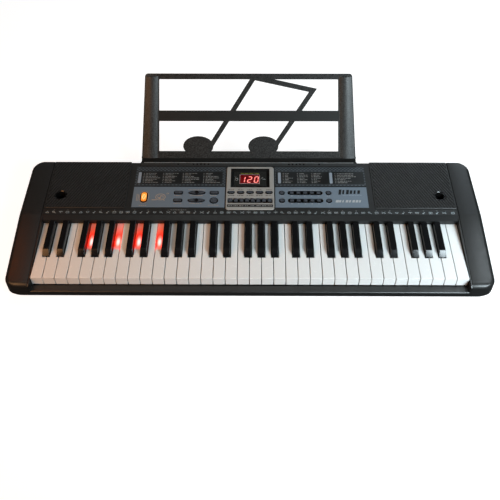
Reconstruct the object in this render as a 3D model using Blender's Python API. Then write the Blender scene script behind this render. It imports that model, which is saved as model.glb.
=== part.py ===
"""Toy electronic keyboard: 61 light-up keys, two speakers, a control panel and a lift-out music stand.

Lengths are in millimetres until they reach a mesh. X runs along the keyboard, Y from the player to the
back and Z up from the table. y is counted from the front face of the case and z from the table; place()
turns such a point into metres about the middle of the whole footprint, music stand included.
"""

import math

import bmesh
import bpy
from mathutils import Matrix, Vector

MM = 0.001
GAP = 0.4  # clearance between neighbouring pieces
BUTTON_GAP = 1.3  # clearance round a button in its hole

# Case
CASE_WIDTH = 825.0
CASE_DEPTH = 283.5
CASE_CORNER = 20.0
SHELL = 2.5
SEAM_Z = 22.0  # parting line between the upper and lower case
FLOOR_Z = 3.0
FLOOR_THICK = 2.5
PANEL_TOP = 62.0
PANEL_THICK = 3.0
BODY_HALF = 371.2  # half width of the upper case between the end cheeks
SIDE_WALL = 1.8
RAIL_TOP = 30.0
RAIL_DEPTH = 13.5
FASCIA_TOP_Y = 147.9
FASCIA_LIP_Y = 136.6
FASCIA_LIP_Z = 58.6
LIP_BOTTOM = 50.0
CHEEK_TOP = 63.3
CHEEK_FRONT_Z = 46.5
CHEEK_ROUND = 8.0  # radius along the outer and the front edge
CHEEK_BACK_ROUND = 2.5
FEET = ((-340.0, 42.0), (340.0, 42.0), (-340.0, 245.0), (340.0, 245.0))
FOOT_R = 11.0
BATTERY_BAY = (70.0, 190.0, 200.0, 256.0)  # x from, x to, y from, y to
BATTERY_ROOF = 21.5
DOOR_SUNK = 0.3
INLET_X, INLET_Z = -150.0, 36.0
INLET_HOLE_R, INLET_COLLAR_R, INLET_BORE_R = 5.0, 4.6, 3.3

# Keys
PITCH = 20.5
WHITE_COUNT = 36
KEY_GAP = 1.2
WHITE_TOP = 48.0
WHITE_HEIGHT = 17.0
WHITE_FRONT = 15.0
KEY_BACK = 184.0
PIVOT_Y = 180.0
WHITE_PIVOT_Z = 33.0
BLACK_PIVOT_Z = 49.0
BLACK_TOP = 58.5
BLACK_BASE_WIDTH = 11.9
BLACK_TOP_WIDTH = 9.7
BLACK_FRONT = 61.7
BLACK_TOP_FRONT = 70.5
BLACK_BACK = 135.4
NOTCH_WIDTH = 13.7
COMB_RAIL = (172.0, 180.0, 48.8, 51.2)  # y from, y to, z from, z to
COMB_FINGER = (8.0, 43.5, 51.0)  # width, z from, z to
FINGER_GAP = 1.2
# Offset of each black key from the boundary on its left-hand white key's right side, within one octave.
BLACK_KEYS = {0: -2.0, 1: 2.0, 3: -2.7, 4: 0.0, 5: 2.7}
WHITES_IN_OCTAVE = 7
OCTAVES = 5

# Speakers and grilles
GRILLE = (224.8, 370.4, 163.0, 282.3)  # x from, x to, y from, y to
GRILLE_TOP = 63.4
SPEAKER_X, SPEAKER_Y, SPEAKER_R = 298.0, 224.0, 44.0
CONE_OPENING_R = 40.0
PORT_X, PORT_Y, PORT_R = 345.0, 194.0, 9.0

# Control panel
BEZEL = (44.0, 159.5, 269.5)  # half width, y from, y to
BEZEL_TOP = 63.6
BEZEL_CORNER = 5.0
WINDOW = (34.2, 216.5, 262.5)
DISPLAY_TOP = 61.0
ROW_BACK, ROW_FRONT = 202.0, 182.3  # y of the two rows of buttons
WEB = (56.4, 57.6)  # z of the web under a button group
BUTTON_TOP = 63.3
CENTRE_BUTTON_TOP = 64.8
POWER = (-192.9, 190.2, 11.0, 24.6)  # x, y, width, length
PAD_SLOT = (39.6, 176.6, 186.2)  # half width, y from, y to
PAD_COUNT, PAD_PITCH, PAD_WIDTH = 8, 10.2, 7.4
OVAL_COUNT, OVAL_PITCH, OVAL_Y = 5, 17.3, 201.8
OVAL_SIZE = (11.0, 5.6)
RECTANGLES = ((-131.0, ROW_BACK), (-131.0, ROW_FRONT), (-65.5, ROW_BACK))
RECTANGLE_SIZE = (14.4, 7.0)
ROCKERS = ((-97.3, ROW_BACK), (-97.3, ROW_FRONT))
ROCKER_SIZE = (29.6, 8.2)
SELECT_BUTTON = (-65.5, ROW_FRONT, 6.7)  # x, y, radius
ROUND_BUTTONS = ((58.0, ROW_BACK), (58.0, ROW_FRONT), (143.3, ROW_BACK), (143.3, ROW_FRONT))
ROUND_R = 4.3
BARS = ((100.6, ROW_BACK), (100.6, ROW_FRONT))
BAR_SIZE = (61.4, 7.8)  # of the slot, clearance left off
BAR_BUTTONS, BAR_PITCH, BAR_BUTTON = 5, 12.2, (7.8, 7.0)

# Music stand: u runs across, v up the slope from the foot of the desk, w through it to the back
LEAN = math.radians(25.0)
STAND_Y, STAND_Z = 288.0, 69.0
STAND_X = -3.2  # the stand sits a little off the middle
STAND_HEIGHT = 157.8
STAND_FOOT = -0.5  # v of the lower edge of the desk
STAND_THICK = 3.5
STAND_HALF = (202.8, 187.4)  # at the foot and at the top
STAND_INNER = (170.0, 161.6)
STAND_CORNER = 5.0
SHELF_OVERHANG = 0.6
COLUMN_BULGE = 3.2
WINDOWS_V = ((12.2, 70.8), (90.0, 148.0))
SHELF = (272.5, 291.2, 62.4, 64.2)  # y from, y to, z from, z to
SHELF_LIP, SHELF_LIP_TOP = 3.0, 69.8
SHELF_WALL, SHELF_WALL_TOP = 2.4, 69.6
TAB_X, TAB_WIDTH, TAB_THICK = 120.0, 40.0, 3.0
TAB_Y, TAB_BOTTOM = 279.2, 46.0
NOTE_HEADS = ((-95.0, 22.5), (27.7, 22.5))
NOTE_HEAD_SIZE = (28.5, 19.0)
NOTE_STEMS = ((-77.8, 12.5), (9.5, 151.0), (117.4, 128.0), (43.1, 12.5))
NOTE_STROKE = 8.5

TOTAL_DEPTH = STAND_Y + STAND_HEIGHT * math.sin(LEAN) + STAND_THICK * math.cos(LEAN)


def place(x, y, z):
    return Vector((x, y - TOTAL_DEPTH / 2, z)) * MM


# ---------------------------------------------------------------- shapes

def ring_solid(*rings):
    """Closed solid through rings of equal length; the first and the last are capped."""
    bm = bmesh.new()
    loops = [[bm.verts.new(place(*point)) for point in ring] for ring in rings]
    count = len(loops[0])
    for lower, upper in zip(loops, loops[1:]):
        for i in range(count):
            j = (i + 1) % count
            bm.faces.new((lower[i], lower[j], upper[j], upper[i]))
    bm.faces.new(loops[0])
    bm.faces.new(loops[-1])
    return bm


def level(outline, z):
    return [(x, y, z) for x, y in outline]


def prism(outline, low, high):
    """Outline in X and Y, raised from z low to z high."""
    return ring_solid(level(outline, low), level(outline, high))


def side_prism(outline, low, high):
    """Outline in Y and Z, drawn out from x low to x high."""
    return ring_solid(*([(x, y, z) for y, z in outline] for x in (low, high)))


def rectangle(x0, x1, y0, y1):
    return [(x0, y0), (x1, y0), (x1, y1), (x0, y1)]


def box(x0, x1, y0, y1, z0, z1):
    return prism(rectangle(x0, x1, y0, y1), z0, z1)


def rounded(x0, x1, y0, y1, radius, steps=4):
    """Rectangle with round corners; steps edges to each corner."""
    corners = ((x1, y0, -90), (x1, y1, 0), (x0, y1, 90), (x0, y0, 180))
    outline = []
    for x, y, start in corners:
        cx = x - math.copysign(radius, x - (x0 + x1) / 2)
        cy = y - math.copysign(radius, y - (y0 + y1) / 2)
        for i in range(steps + 1):
            angle = math.radians(start + 90 * i / steps)
            outline.append((cx + radius * math.cos(angle), cy + radius * math.sin(angle)))
    return outline


def centred(x, y, width, depth, radius, steps=4):
    return rounded(x - width / 2, x + width / 2, y - depth / 2, y + depth / 2, radius, steps)


def circle(x, y, radius, steps=20):
    turns = (2 * math.pi * i / steps for i in range(steps))
    return [(x + radius * math.cos(t), y + radius * math.sin(t)) for t in turns]


def inset(outline, distance):
    """Counter-clockwise outline moved inwards by distance, corner by corner."""
    moved = []
    for i, corner in enumerate(outline):
        before, here, after = Vector(outline[i - 1]), Vector(corner), Vector(outline[(i + 1) % len(outline)])
        a, b = (here - before).normalized(), (after - here).normalized()
        normal_a, normal_b = Vector((-a.y, a.x)), Vector((-b.y, b.x))
        moved.append(tuple(here + (normal_a + normal_b) * (distance / (1 + normal_a.dot(normal_b)))))
    return moved


def turned(x, y, profile, steps=24):
    """Solid of revolution about a vertical axis through (x, y)."""
    return ring_solid(*(level(circle(x, y, radius, steps), z) for radius, z in profile))


# ---------------------------------------------------------------- objects

def plastic(name, colour, roughness, metallic=0.0):
    material = bpy.data.materials.new(name)
    material.use_nodes = True
    shader = material.node_tree.nodes["Principled BSDF"]
    shader.inputs["Base Color"].default_value = (*colour, 1.0)
    shader.inputs["Roughness"].default_value = roughness
    shader.inputs["Metallic"].default_value = metallic
    return material


def merged(pieces):
    """One bmesh holding every piece as a separate shell, for use as a cutter."""
    whole = bmesh.new()
    for piece in pieces:
        mesh = bpy.data.meshes.new("piece")
        bmesh.ops.recalc_face_normals(piece, faces=piece.faces)
        piece.to_mesh(mesh)
        piece.free()
        whole.from_mesh(mesh)
        bpy.data.meshes.remove(mesh)
    return whole


def add_object(name, bm, material=None):
    mesh = bpy.data.meshes.new(name)
    bmesh.ops.recalc_face_normals(bm, faces=bm.faces)
    bm.to_mesh(mesh)
    bm.free()
    obj = bpy.data.objects.new(name, mesh)
    bpy.context.scene.collection.objects.link(obj)
    if material:
        mesh.materials.append(material)
    return obj


def combine(obj, operation, pieces):
    """Unites obj with pieces one by one, or cuts all of them from it at once."""
    tools = [merged(pieces)] if operation == "DIFFERENCE" else pieces
    for bm in tools:
        tool = add_object("tool", bm)
        modifier = obj.modifiers.new("shape", "BOOLEAN")
        modifier.operation = operation
        modifier.solver = "EXACT"
        modifier.object = tool
        graph = bpy.context.evaluated_depsgraph_get()
        result = bpy.data.meshes.new_from_object(obj.evaluated_get(graph))
        obj.modifiers.clear()
        obj.data = result
        bpy.data.objects.remove(tool)
    return obj


def shade_round(obj):
    obj.data.shade_smooth()
    obj.data.set_sharp_from_angle(angle=math.radians(30))
    return obj


def hinge_at(obj, y, z):
    """Moves the object's origin onto its joint axis, leaving the shape where it is."""
    origin = place(0, y, z)
    obj.data.transform(Matrix.Translation(-origin))
    obj.location = origin
    return obj


# ---------------------------------------------------------------- case

def cheek_height(y):
    """Top of an end cheek: level beside the panel, sloping down beside the keys."""
    if y >= FASCIA_TOP_Y:
        return CHEEK_TOP
    return CHEEK_FRONT_Z + (CHEEK_TOP - CHEEK_FRONT_Z) * y / FASCIA_TOP_Y


def black_key_centres():
    for octave in range(OCTAVES):
        for white, offset in BLACK_KEYS.items():
            boundary = octave * WHITES_IN_OCTAVE + white + 1 - WHITE_COUNT / 2
            yield octave, boundary * PITCH + offset


def make_upper_case(material):
    inner_y = CASE_DEPTH - SHELL
    body = [
        (FASCIA_LIP_Y, LIP_BOTTOM), (FASCIA_LIP_Y, FASCIA_LIP_Z), (FASCIA_TOP_Y, PANEL_TOP),
        (CASE_DEPTH - SHELL, PANEL_TOP), (CASE_DEPTH, PANEL_TOP - SHELL), (CASE_DEPTH, SEAM_Z + GAP / 2),
        (inner_y, SEAM_Z + GAP / 2), (inner_y, PANEL_TOP - PANEL_THICK),
        (FASCIA_TOP_Y + 0.7, PANEL_TOP - PANEL_THICK), (FASCIA_LIP_Y + SHELL, FASCIA_LIP_Z - 1.8),
        (FASCIA_LIP_Y + SHELL, LIP_BOTTOM),
    ]
    under = 1.0
    case = add_object("upper_case", side_prism(body, -BODY_HALF + under, BODY_HALF - under), material)
    drop = 0.3
    wall = [
        (0.0, SEAM_Z + GAP / 2), (CASE_DEPTH - 0.05, SEAM_Z + GAP / 2),
        (CASE_DEPTH - 0.05, PANEL_TOP - SHELL),
        (CASE_DEPTH - SHELL, PANEL_TOP - drop), (FASCIA_TOP_Y, PANEL_TOP - drop),
        (3.0, cheek_height(3.0) - drop), (0.0, cheek_height(0.0) - 3.0),
    ]
    rail = [
        (0.1, SEAM_Z + GAP / 2), (0.1, RAIL_TOP - 1.0), (1.1, RAIL_TOP), (RAIL_DEPTH, RAIL_TOP),
        (RAIL_DEPTH, RAIL_TOP - 5), (RAIL_DEPTH - SHELL, RAIL_TOP - 5),
        (RAIL_DEPTH - SHELL, RAIL_TOP - SHELL),
        (SHELL, RAIL_TOP - SHELL), (SHELL, SEAM_Z + GAP / 2),
    ]
    joined = [side_prism(wall, side * (BODY_HALF - SIDE_WALL), side * BODY_HALF) for side in (-1, 1)]
    joined.append(side_prism(rail, -BODY_HALF + under, BODY_HALF - under))
    combine(case, "UNION", joined)

    low, high = PANEL_TOP - PANEL_THICK - 3, PANEL_TOP + 3
    half, front, back = BEZEL
    holes = [prism(rounded(-half - GAP, half + GAP, front - GAP, back + GAP, BEZEL_CORNER + GAP), low, high)]
    for _, x in black_key_centres():
        notch = COMB_FINGER[0] / 2 + FINGER_GAP
        ceiling = COMB_FINGER[2] + FINGER_GAP
        holes.append(box(
            x - notch, x + notch, FASCIA_LIP_Y - 2, FASCIA_LIP_Y + SHELL + 1, LIP_BOTTOM - 2, ceiling,
        ))
    for side in (-1, 1):
        holes.append(prism(circle(side * SPEAKER_X, SPEAKER_Y, CONE_OPENING_R, 32), low, high))
        holes.append(prism(circle(side * PORT_X, PORT_Y, PORT_R), low, high))
        holes.append(tab_prism(side * TAB_X, TAB_WIDTH + 2 * GAP, TAB_THICK + 1.2, high, low))
    buttons = button_outlines(BUTTON_GAP)
    holes += [prism(outline, low, high) for group in ("left", "right", "power") for outline in buttons[group]]
    combine(case, "DIFFERENCE", holes)
    socket = ring_solid(*(inlet_ring(INLET_HOLE_R, y) for y in (CASE_DEPTH - 2 * SHELL, CASE_DEPTH + SHELL)))
    return combine(case, "DIFFERENCE", [socket])


def make_end_cheek(name, side, material):
    """Hollow end cap, open below and towards the case, swept from front to back."""
    def shell(offset, inner_x, drop_to):
        rings = []
        arc = [1 - math.cos(math.radians(a)) for a in (0, 18, 36, 54, 72, 90)]
        start, stop = offset, CASE_DEPTH - offset
        radius = CASE_CORNER - offset
        front = [start + radius * a for a in arc]
        back = [stop - radius * a for a in reversed(arc)]
        back_fillet = [stop - CHEEK_BACK_ROUND * a for a in (0.6, 0.2)]
        for y in front + [FASCIA_TOP_Y - 10, FASCIA_TOP_Y] + sorted(back + back_fillet):
            near = max(0.0, radius - min(y - start, stop - y))
            outer = CASE_WIDTH / 2 - offset - radius + math.sqrt(max(0.0, radius**2 - near**2))
            curl = CHEEK_ROUND - offset
            crest = cheek_height(y) - offset
            ends = ((CHEEK_ROUND - offset, y - start), (max(0.5, CHEEK_BACK_ROUND - offset), stop - y))
            for fillet, distance in ends:
                fall = max(0.0, fillet - distance)
                crest -= fillet - math.sqrt(max(0.0, fillet**2 - fall**2))
            ring = [(inner_x, y, drop_to), (inner_x, y, crest)]
            for a in (90, 68, 45, 22, 0):
                t = math.radians(a)
                ring.append((outer - curl + curl * math.cos(t), y, crest - curl + curl * math.sin(t)))
            ring.append((outer, y, drop_to))
            rings.append([(side * x, y, z) for x, y, z in ring])
        return ring_solid(*rings)

    inner_x = BODY_HALF + GAP
    cheek = add_object(name, shell(0.0, inner_x, SEAM_Z + GAP / 2), material)
    combine(cheek, "DIFFERENCE", [shell(SHELL, inner_x - 5, SEAM_Z - 5)])
    return shade_round(cheek)


def make_lower_case(material):
    def outline(margin, radius):
        half = CASE_WIDTH / 2 - margin
        return rounded(-half, half, margin, CASE_DEPTH - margin, radius)

    top = SEAM_Z - GAP / 2
    steps = ((14.0, FLOOR_Z), (9.0, 7.0), (4.0, 14.0), (0.6, top))
    outer = [level(outline(margin, CASE_CORNER - margin / 2), z) for margin, z in steps]
    inner_steps = ((0.6, top), (4.0, 14.0), (9.0, 7.0), (12.5, FLOOR_Z + FLOOR_THICK))
    inner = [level(outline(margin + SHELL, CASE_CORNER - margin / 2 - SHELL), z) for margin, z in inner_steps]
    tray = add_object("lower_case", ring_solid(*outer, *inner), material)

    sunk = FLOOR_Z + FLOOR_THICK - 1
    across = 362.0
    ribs = (
        (25.0, 27.5, 20.5),  # front stop
        (80.0, 82.5, 17.6), (128.0, 130.5, 17.6),  # under the contact board
        (180.5, 184.0, WHITE_TOP - WHITE_HEIGHT - GAP),  # under the pivots
    )
    pieces = [box(-across, across, y0, y1, sunk, height) for y0, y1, height in ribs]
    x0, x1, y0, y1 = BATTERY_BAY
    pieces.append(box(x0 - SHELL, x1 + SHELL, y0 - SHELL, y1 + SHELL, sunk, BATTERY_ROOF + SHELL))
    for x, y in FEET:
        pieces.append(prism(circle(x, y, FOOT_R, 16), 0.0, FLOOR_Z + 1))
    combine(tray, "UNION", pieces)
    return combine(tray, "DIFFERENCE", [box(x0, x1, y0, y1, FLOOR_Z - 2, BATTERY_ROOF)])


def make_battery_door(material):
    x0, x1, y0, y1 = BATTERY_BAY
    door = box(x0 + GAP, x1 - GAP, y0 + GAP, y1 - GAP, FLOOR_Z + DOOR_SUNK, FLOOR_Z + FLOOR_THICK)
    obj = add_object("battery_door", door, material)
    grip = [box(120.0, 140.0, y + 4, y + 5.5, FLOOR_Z - 1, FLOOR_Z + 1) for y in (240.0, 243.0, 246.0)]
    return combine(obj, "DIFFERENCE", grip)


def inlet_ring(radius, y, steps=16):
    return [(INLET_X + a, y, INLET_Z + b) for a, b in circle(0, 0, radius, steps)]


def make_power_inlet(material):
    face = CASE_DEPTH - SHELL - GAP
    block = box(INLET_X - 7, INLET_X + 7, face - 13, face, INLET_Z - 7, INLET_Z + 7)
    obj = add_object("power_inlet", block, material)
    collar = ring_solid(inlet_ring(INLET_COLLAR_R, face - 1), inlet_ring(INLET_COLLAR_R, CASE_DEPTH))
    combine(obj, "UNION", [collar])
    bore = ring_solid(inlet_ring(INLET_BORE_R, face - 10), inlet_ring(INLET_BORE_R, CASE_DEPTH + 3))
    return combine(obj, "DIFFERENCE", [bore])


# ---------------------------------------------------------------- sound and electronics

def make_grille(name, side, material):
    x0, x1, y0, y1 = GRILLE
    x0, x1 = sorted((side * x0, side * x1))
    plate = prism(rounded(x0, x1, y0, y1, 1.5, 2), PANEL_TOP + GAP * 0.75, GRILLE_TOP)
    obj = add_object(name, plate, material)
    holes = [prism(circle(side * PORT_X, PORT_Y, PORT_R), PANEL_TOP - 3, GRILLE_TOP + 3)]
    slant = math.radians(45)
    for i in range(-6, 7):
        middle = Vector((side * SPEAKER_X + i * 5.6 * math.cos(slant), SPEAKER_Y - i * 5.6 * math.sin(slant)))
        reach = math.sqrt((CONE_OPENING_R - 3) ** 2 - (i * 5.6) ** 2)
        along = Vector((math.cos(slant), math.sin(slant))) * reach
        across = Vector((-math.sin(slant), math.cos(slant))) * 0.9
        near, far = middle - across, middle + across
        slot = [near - along, near + along, far + along, far - along]
        holes.append(prism([tuple(p) for p in slot], PANEL_TOP - 3, GRILLE_TOP + 3))
    return combine(obj, "DIFFERENCE", holes)


def make_speaker(name, side, material):
    profile = (
        (20.0, 30.0), (20.0, 38.0), (41.0, 54.0), (SPEAKER_R, 56.0), (SPEAKER_R, 58.6), (39.0, 58.6),
        (35.0, 55.0), (12.0, 43.0), (9.0, 45.5), (4.0, 47.0),
    )
    return shade_round(add_object(name, turned(side * SPEAKER_X, SPEAKER_Y, profile), material))


def make_boards(material):
    add_object("main_circuit_board", box(-215, 215, 172, 266, 52.6, 54.2), material)
    board = add_object("key_contact_board", box(-358, 358, 76, 135, 18.0, 19.6), material)
    strips = [box(-350, 350, y, y + 8, 19.0, 22.0) for y in (84.0, 110.0)]
    combine(board, "UNION", strips)


# ---------------------------------------------------------------- control panel

def button_outlines(grow):
    """Plan outlines of the buttons of each group, grown by a clearance where they are holes."""
    def stadium(x, y, width, depth):
        return centred(x, y, width + 2 * grow, depth + 2 * grow, min(width, depth) / 2 + grow - 0.05, 4)

    def block(x, y, width, depth, radius):
        return centred(x, y, width + 2 * grow, depth + 2 * grow, radius + grow, 2)

    def oval(x, y, width, depth):
        a, b = width / 2 + grow, depth / 2 + grow
        return [(x + a * u, y + b * v) for u, v in circle(0, 0, 1, 24)]

    x, y, radius = SELECT_BUTTON
    left = [block(*at, *RECTANGLE_SIZE, 2.0) for at in RECTANGLES]
    left += [oval(*at, *ROCKER_SIZE) for at in ROCKERS]
    left.append(circle(x, y, radius + grow, 24))
    right = [circle(*at, ROUND_R + grow) for at in ROUND_BUTTONS]
    if grow:
        right += [stadium(*at, *BAR_SIZE) for at in BARS]
    else:
        for x, y in BARS:
            for i in range(BAR_BUTTONS):
                shift = (i - (BAR_BUTTONS - 1) / 2) * BAR_PITCH
                right.append(block(x + shift, y, *BAR_BUTTON, 1.5))
    ovals = [
        stadium((i - (OVAL_COUNT - 1) / 2) * OVAL_PITCH, OVAL_Y, *OVAL_SIZE) for i in range(OVAL_COUNT)
    ]
    half, front, back = PAD_SLOT
    if grow:
        pads = [rounded(-half - grow, half + grow, front - grow, back + grow, 1.0, 1)]
    else:
        middle, depth = (front + back) / 2, back - front - GAP
        pads = [
            block((i - (PAD_COUNT - 1) / 2) * PAD_PITCH, middle, PAD_WIDTH, depth, 1.0)
            for i in range(PAD_COUNT)
        ]
    power = [stadium(POWER[0], POWER[1], POWER[2], POWER[3])]
    return {"left": left, "right": right, "centre": ovals + pads, "power": power}


def make_button_group(name, group, web, top, material):
    """Buttons that share one moulded web under the panel."""
    obj = add_object(name, box(*web, *WEB), material)
    crown = 0.6
    for outline in button_outlines(0)[group]:
        stem = level(outline, WEB[1] - 0.5), level(outline, top - crown), level(inset(outline, crown), top)
        combine(obj, "UNION", [ring_solid(*stem)])
    return obj


def make_display_bezel(material):
    half, front, back = BEZEL
    rings = [
        level(rounded(-half, half, front, back, BEZEL_CORNER), z) for z in (58.5, BEZEL_TOP - 0.7)
    ]
    worn = rounded(-half + 0.7, half - 0.7, front + 0.7, back - 0.7, BEZEL_CORNER - 0.7)
    rings.append(level(worn, BEZEL_TOP))
    obj = add_object("display_bezel", ring_solid(*rings), material)
    wide, near, far = WINDOW
    window = ring_solid(
        level(rectangle(-wide, wide, near, far), 56.0), level(rectangle(-wide, wide, near, far), 62.0),
        level(rectangle(-wide - 2.6, wide + 2.6, near - 2.6, far + 2.6), 64.6),
    )
    holes = [prism(outline, 56.0, BEZEL_TOP + 3) for outline in button_outlines(BUTTON_GAP)["centre"]]
    return combine(obj, "DIFFERENCE", [window, *holes])


def make_digit_display(material):
    wide, near, far = WINDOW
    block = box(-wide + GAP, wide - GAP, near + GAP, far - GAP, 54.6, DISPLAY_TOP)
    return add_object("digit_display", block, material)


# ---------------------------------------------------------------- keys

def white_key_outline(index):
    """Plan of one white key: full width in front, cut back beside its black keys."""
    left = (index - WHITE_COUNT / 2) * PITCH
    right = left + PITCH
    cut_left, cut_right = left + KEY_GAP / 2, right - KEY_GAP / 2
    note = index % WHITES_IN_OCTAVE
    shoulder = BLACK_FRONT - 1.0
    last = index == WHITE_COUNT - 1
    below = (note - 1) % WHITES_IN_OCTAVE
    has_left = below in BLACK_KEYS and note != 0
    has_right = note in BLACK_KEYS and not last
    tail_left = left + BLACK_KEYS[below] + NOTCH_WIDTH / 2 if has_left else cut_left
    tail_right = right + BLACK_KEYS[note] - NOTCH_WIDTH / 2 if has_right else cut_right
    outline = [(cut_left, WHITE_FRONT), (cut_right, WHITE_FRONT)]
    if has_right:
        outline += [(cut_right, shoulder), (tail_right, shoulder)]
    outline += [(tail_right, KEY_BACK), (tail_left, KEY_BACK)]
    if has_left:
        outline += [(tail_left, shoulder), (cut_left, shoulder)]
    return outline


def make_white_keys(material):
    wall, roof = 1.5, 2.0
    bottom = WHITE_TOP - WHITE_HEIGHT
    for index in range(WHITE_COUNT):
        outer = white_key_outline(index)
        inner = inset(outer, wall)
        key = ring_solid(
            level(outer, WHITE_TOP), level(outer, bottom),
            level(inner, bottom), level(inner, WHITE_TOP - roof)
        )
        hinge_at(add_object(f"white_key_{index + 1:02d}", key, material), PIVOT_Y, WHITE_PIVOT_Z)


def black_key(x):
    """Tapered block with a sloping front, standing between two white keys."""
    def ring(half, front, back, z):
        return level(rectangle(x - half, x + half, front, back), z)

    base, top = BLACK_BASE_WIDTH / 2, BLACK_TOP_WIDTH / 2
    return ring_solid(
        ring(base - 0.2, BLACK_FRONT, BLACK_BACK, 41.0), ring(base, BLACK_FRONT, BLACK_BACK, WHITE_TOP),
        ring(top + 0.5, BLACK_TOP_FRONT - 0.9, BLACK_BACK, BLACK_TOP - 0.8),
        ring(top - 0.5, BLACK_TOP_FRONT + 0.9, BLACK_BACK, BLACK_TOP),
    )


def make_black_keys(material):
    """One comb to an octave: five keys on a rail behind the fascia."""
    rail_y0, rail_y1, rail_z0, rail_z1 = COMB_RAIL
    width, low, high = COMB_FINGER
    for octave in range(OCTAVES):
        centres = [x for number, x in black_key_centres() if number == octave]
        rail = box(min(centres) - 5, max(centres) + 5, rail_y0, rail_y1, rail_z0, rail_z1)
        comb = add_object(f"black_keys_{octave + 1}", rail, material)
        for x in centres:
            finger = box(x - width / 2, x + width / 2, BLACK_BACK - 3, rail_y1 - 0.5, low, high)
            combine(comb, "UNION", [finger, black_key(x)])
        hinge_at(comb, PIVOT_Y, BLACK_PIVOT_Z)


# ---------------------------------------------------------------- music stand

def on_stand(u, v, w):
    """Point of the leaning desk as x, y, z."""
    y = STAND_Y + v * math.sin(LEAN) + w * math.cos(LEAN)
    z = STAND_Z + v * math.cos(LEAN) - w * math.sin(LEAN)
    return STAND_X + u, y, z


def desk_prism(outline, front=0.0, back=STAND_THICK):
    return ring_solid(*([on_stand(u, v, w) for u, v in outline] for w in (front, back)))


def tab_prism(x, width, thick, top, bottom):
    """Leaning tongue under the shelf, or the slot that it enters."""
    rings = []
    for z in (top, bottom):
        y = TAB_Y + (z - PANEL_TOP) * math.tan(LEAN)
        half = thick / 2 / math.cos(LEAN)
        left = STAND_X + x - width / 2
        rings.append(level(rectangle(left, left + width, y - half, y + half), z))
    return ring_solid(*rings)


def half_width(pair, v):
    return pair[0] + (pair[1] - pair[0]) * v / STAND_HEIGHT


def mitred_strip(points, width):
    """Band of even width along an open path, with mitred corners."""
    points = [Vector(p) for p in points]
    sides = ([], [])
    for i, point in enumerate(points):
        ahead = (points[min(i + 1, len(points) - 1)] - points[max(min(i, len(points) - 2), 0)]).normalized()
        behind = (points[max(i, 1)] - points[max(i, 1) - 1]).normalized()
        normal_a, normal_b = Vector((-behind.y, behind.x)), Vector((-ahead.y, ahead.x))
        shift = (normal_a + normal_b) * (width / 2 / (1 + normal_a.dot(normal_b)))
        sides[0].append(tuple(point - shift))
        sides[1].append(tuple(point + shift))
    return sides[0] + sides[1][::-1]


def stand_column(side):
    """Side column with a convex front, running to a soft end just under the top edge."""
    rings = []
    foot = STAND_FOOT + 0.3
    for v, swell in ((foot, 1.0), (STAND_HEIGHT - 5.0, 1.0), (STAND_HEIGHT - 3.2, 0.15)):
        outer, inner = half_width(STAND_HALF, v) - 0.6, half_width(STAND_INNER, v) + 0.4
        ring = [on_stand(side * inner, v, STAND_THICK - 0.8)]
        for i in range(9):
            across = inner + (outer - inner) * i / 8
            ring.append(on_stand(side * across, v, 0.4 - COLUMN_BULGE * swell * math.sin(math.pi * i / 8)))
        ring.append(on_stand(side * outer, v, STAND_THICK - 0.8))
        rings.append(ring)
    return ring_solid(*rings)


def make_music_stand(material):
    foot, top = STAND_HALF
    frame = [(-foot, STAND_FOOT), (foot, STAND_FOOT)]
    for side in (1, -1):
        for i in range(5):
            angle = math.radians(90 * i / 4 if side == 1 else 90 + 90 * i / 4)
            frame.append((
                side * (top - STAND_CORNER) + STAND_CORNER * math.cos(angle),
                STAND_HEIGHT - STAND_CORNER + STAND_CORNER * math.sin(angle),
            ))
    stand = add_object("music_stand", desk_prism(frame), material)
    windows = []
    for low, high in WINDOWS_V:
        below, above = half_width(STAND_INNER, low), half_width(STAND_INNER, high)
        outline = [(-below, low), (below, low), (above, high), (-above, high)]
        windows.append(desk_prism(outline, -3.0, STAND_THICK + 3.0))
    combine(stand, "DIFFERENCE", windows)

    a, b = NOTE_HEAD_SIZE
    pieces = [desk_prism(mitred_strip(NOTE_STEMS, NOTE_STROKE), 0.15, STAND_THICK - 0.15)]
    for u, v in NOTE_HEADS:
        head = [(u + a * x, v + b * y) for x, y in circle(0, 0, 1, 24)]
        pieces.append(desk_prism(head, -0.3, STAND_THICK - 0.3))
    pieces += [stand_column(side) for side in (-1, 1)]
    y0, y1, z0, z1 = SHELF
    width = foot + SHELF_OVERHANG
    channel = [
        (y0, z0), (y1, z0), (y1, SHELF_WALL_TOP), (y1 - SHELF_WALL, SHELF_WALL_TOP), (y1 - SHELF_WALL, z1),
        (y0 + SHELF_LIP, z1), (y0 + SHELF_LIP, SHELF_LIP_TOP), (y0, SHELF_LIP_TOP),
    ]
    pieces.append(side_prism(channel, STAND_X - width, STAND_X + width))
    pieces += [tab_prism(side * TAB_X, TAB_WIDTH, TAB_THICK, z0 + 0.9, TAB_BOTTOM) for side in (-1, 1)]
    combine(stand, "UNION", pieces)

    slots = []
    for side in (-1, 1):
        places = [side * 90.0 + i * 7.0 for i in range(-2, 3)] + [side * 133.0]
        for x in (STAND_X + place for place in places):
            slots.append(box(x - 1.5, x + 1.5, y0 - 2, y0 + 2.2, z0 + 3.2, z0 + 6.4))
    return combine(stand, "DIFFERENCE", slots)


# ---------------------------------------------------------------- assembly

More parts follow.
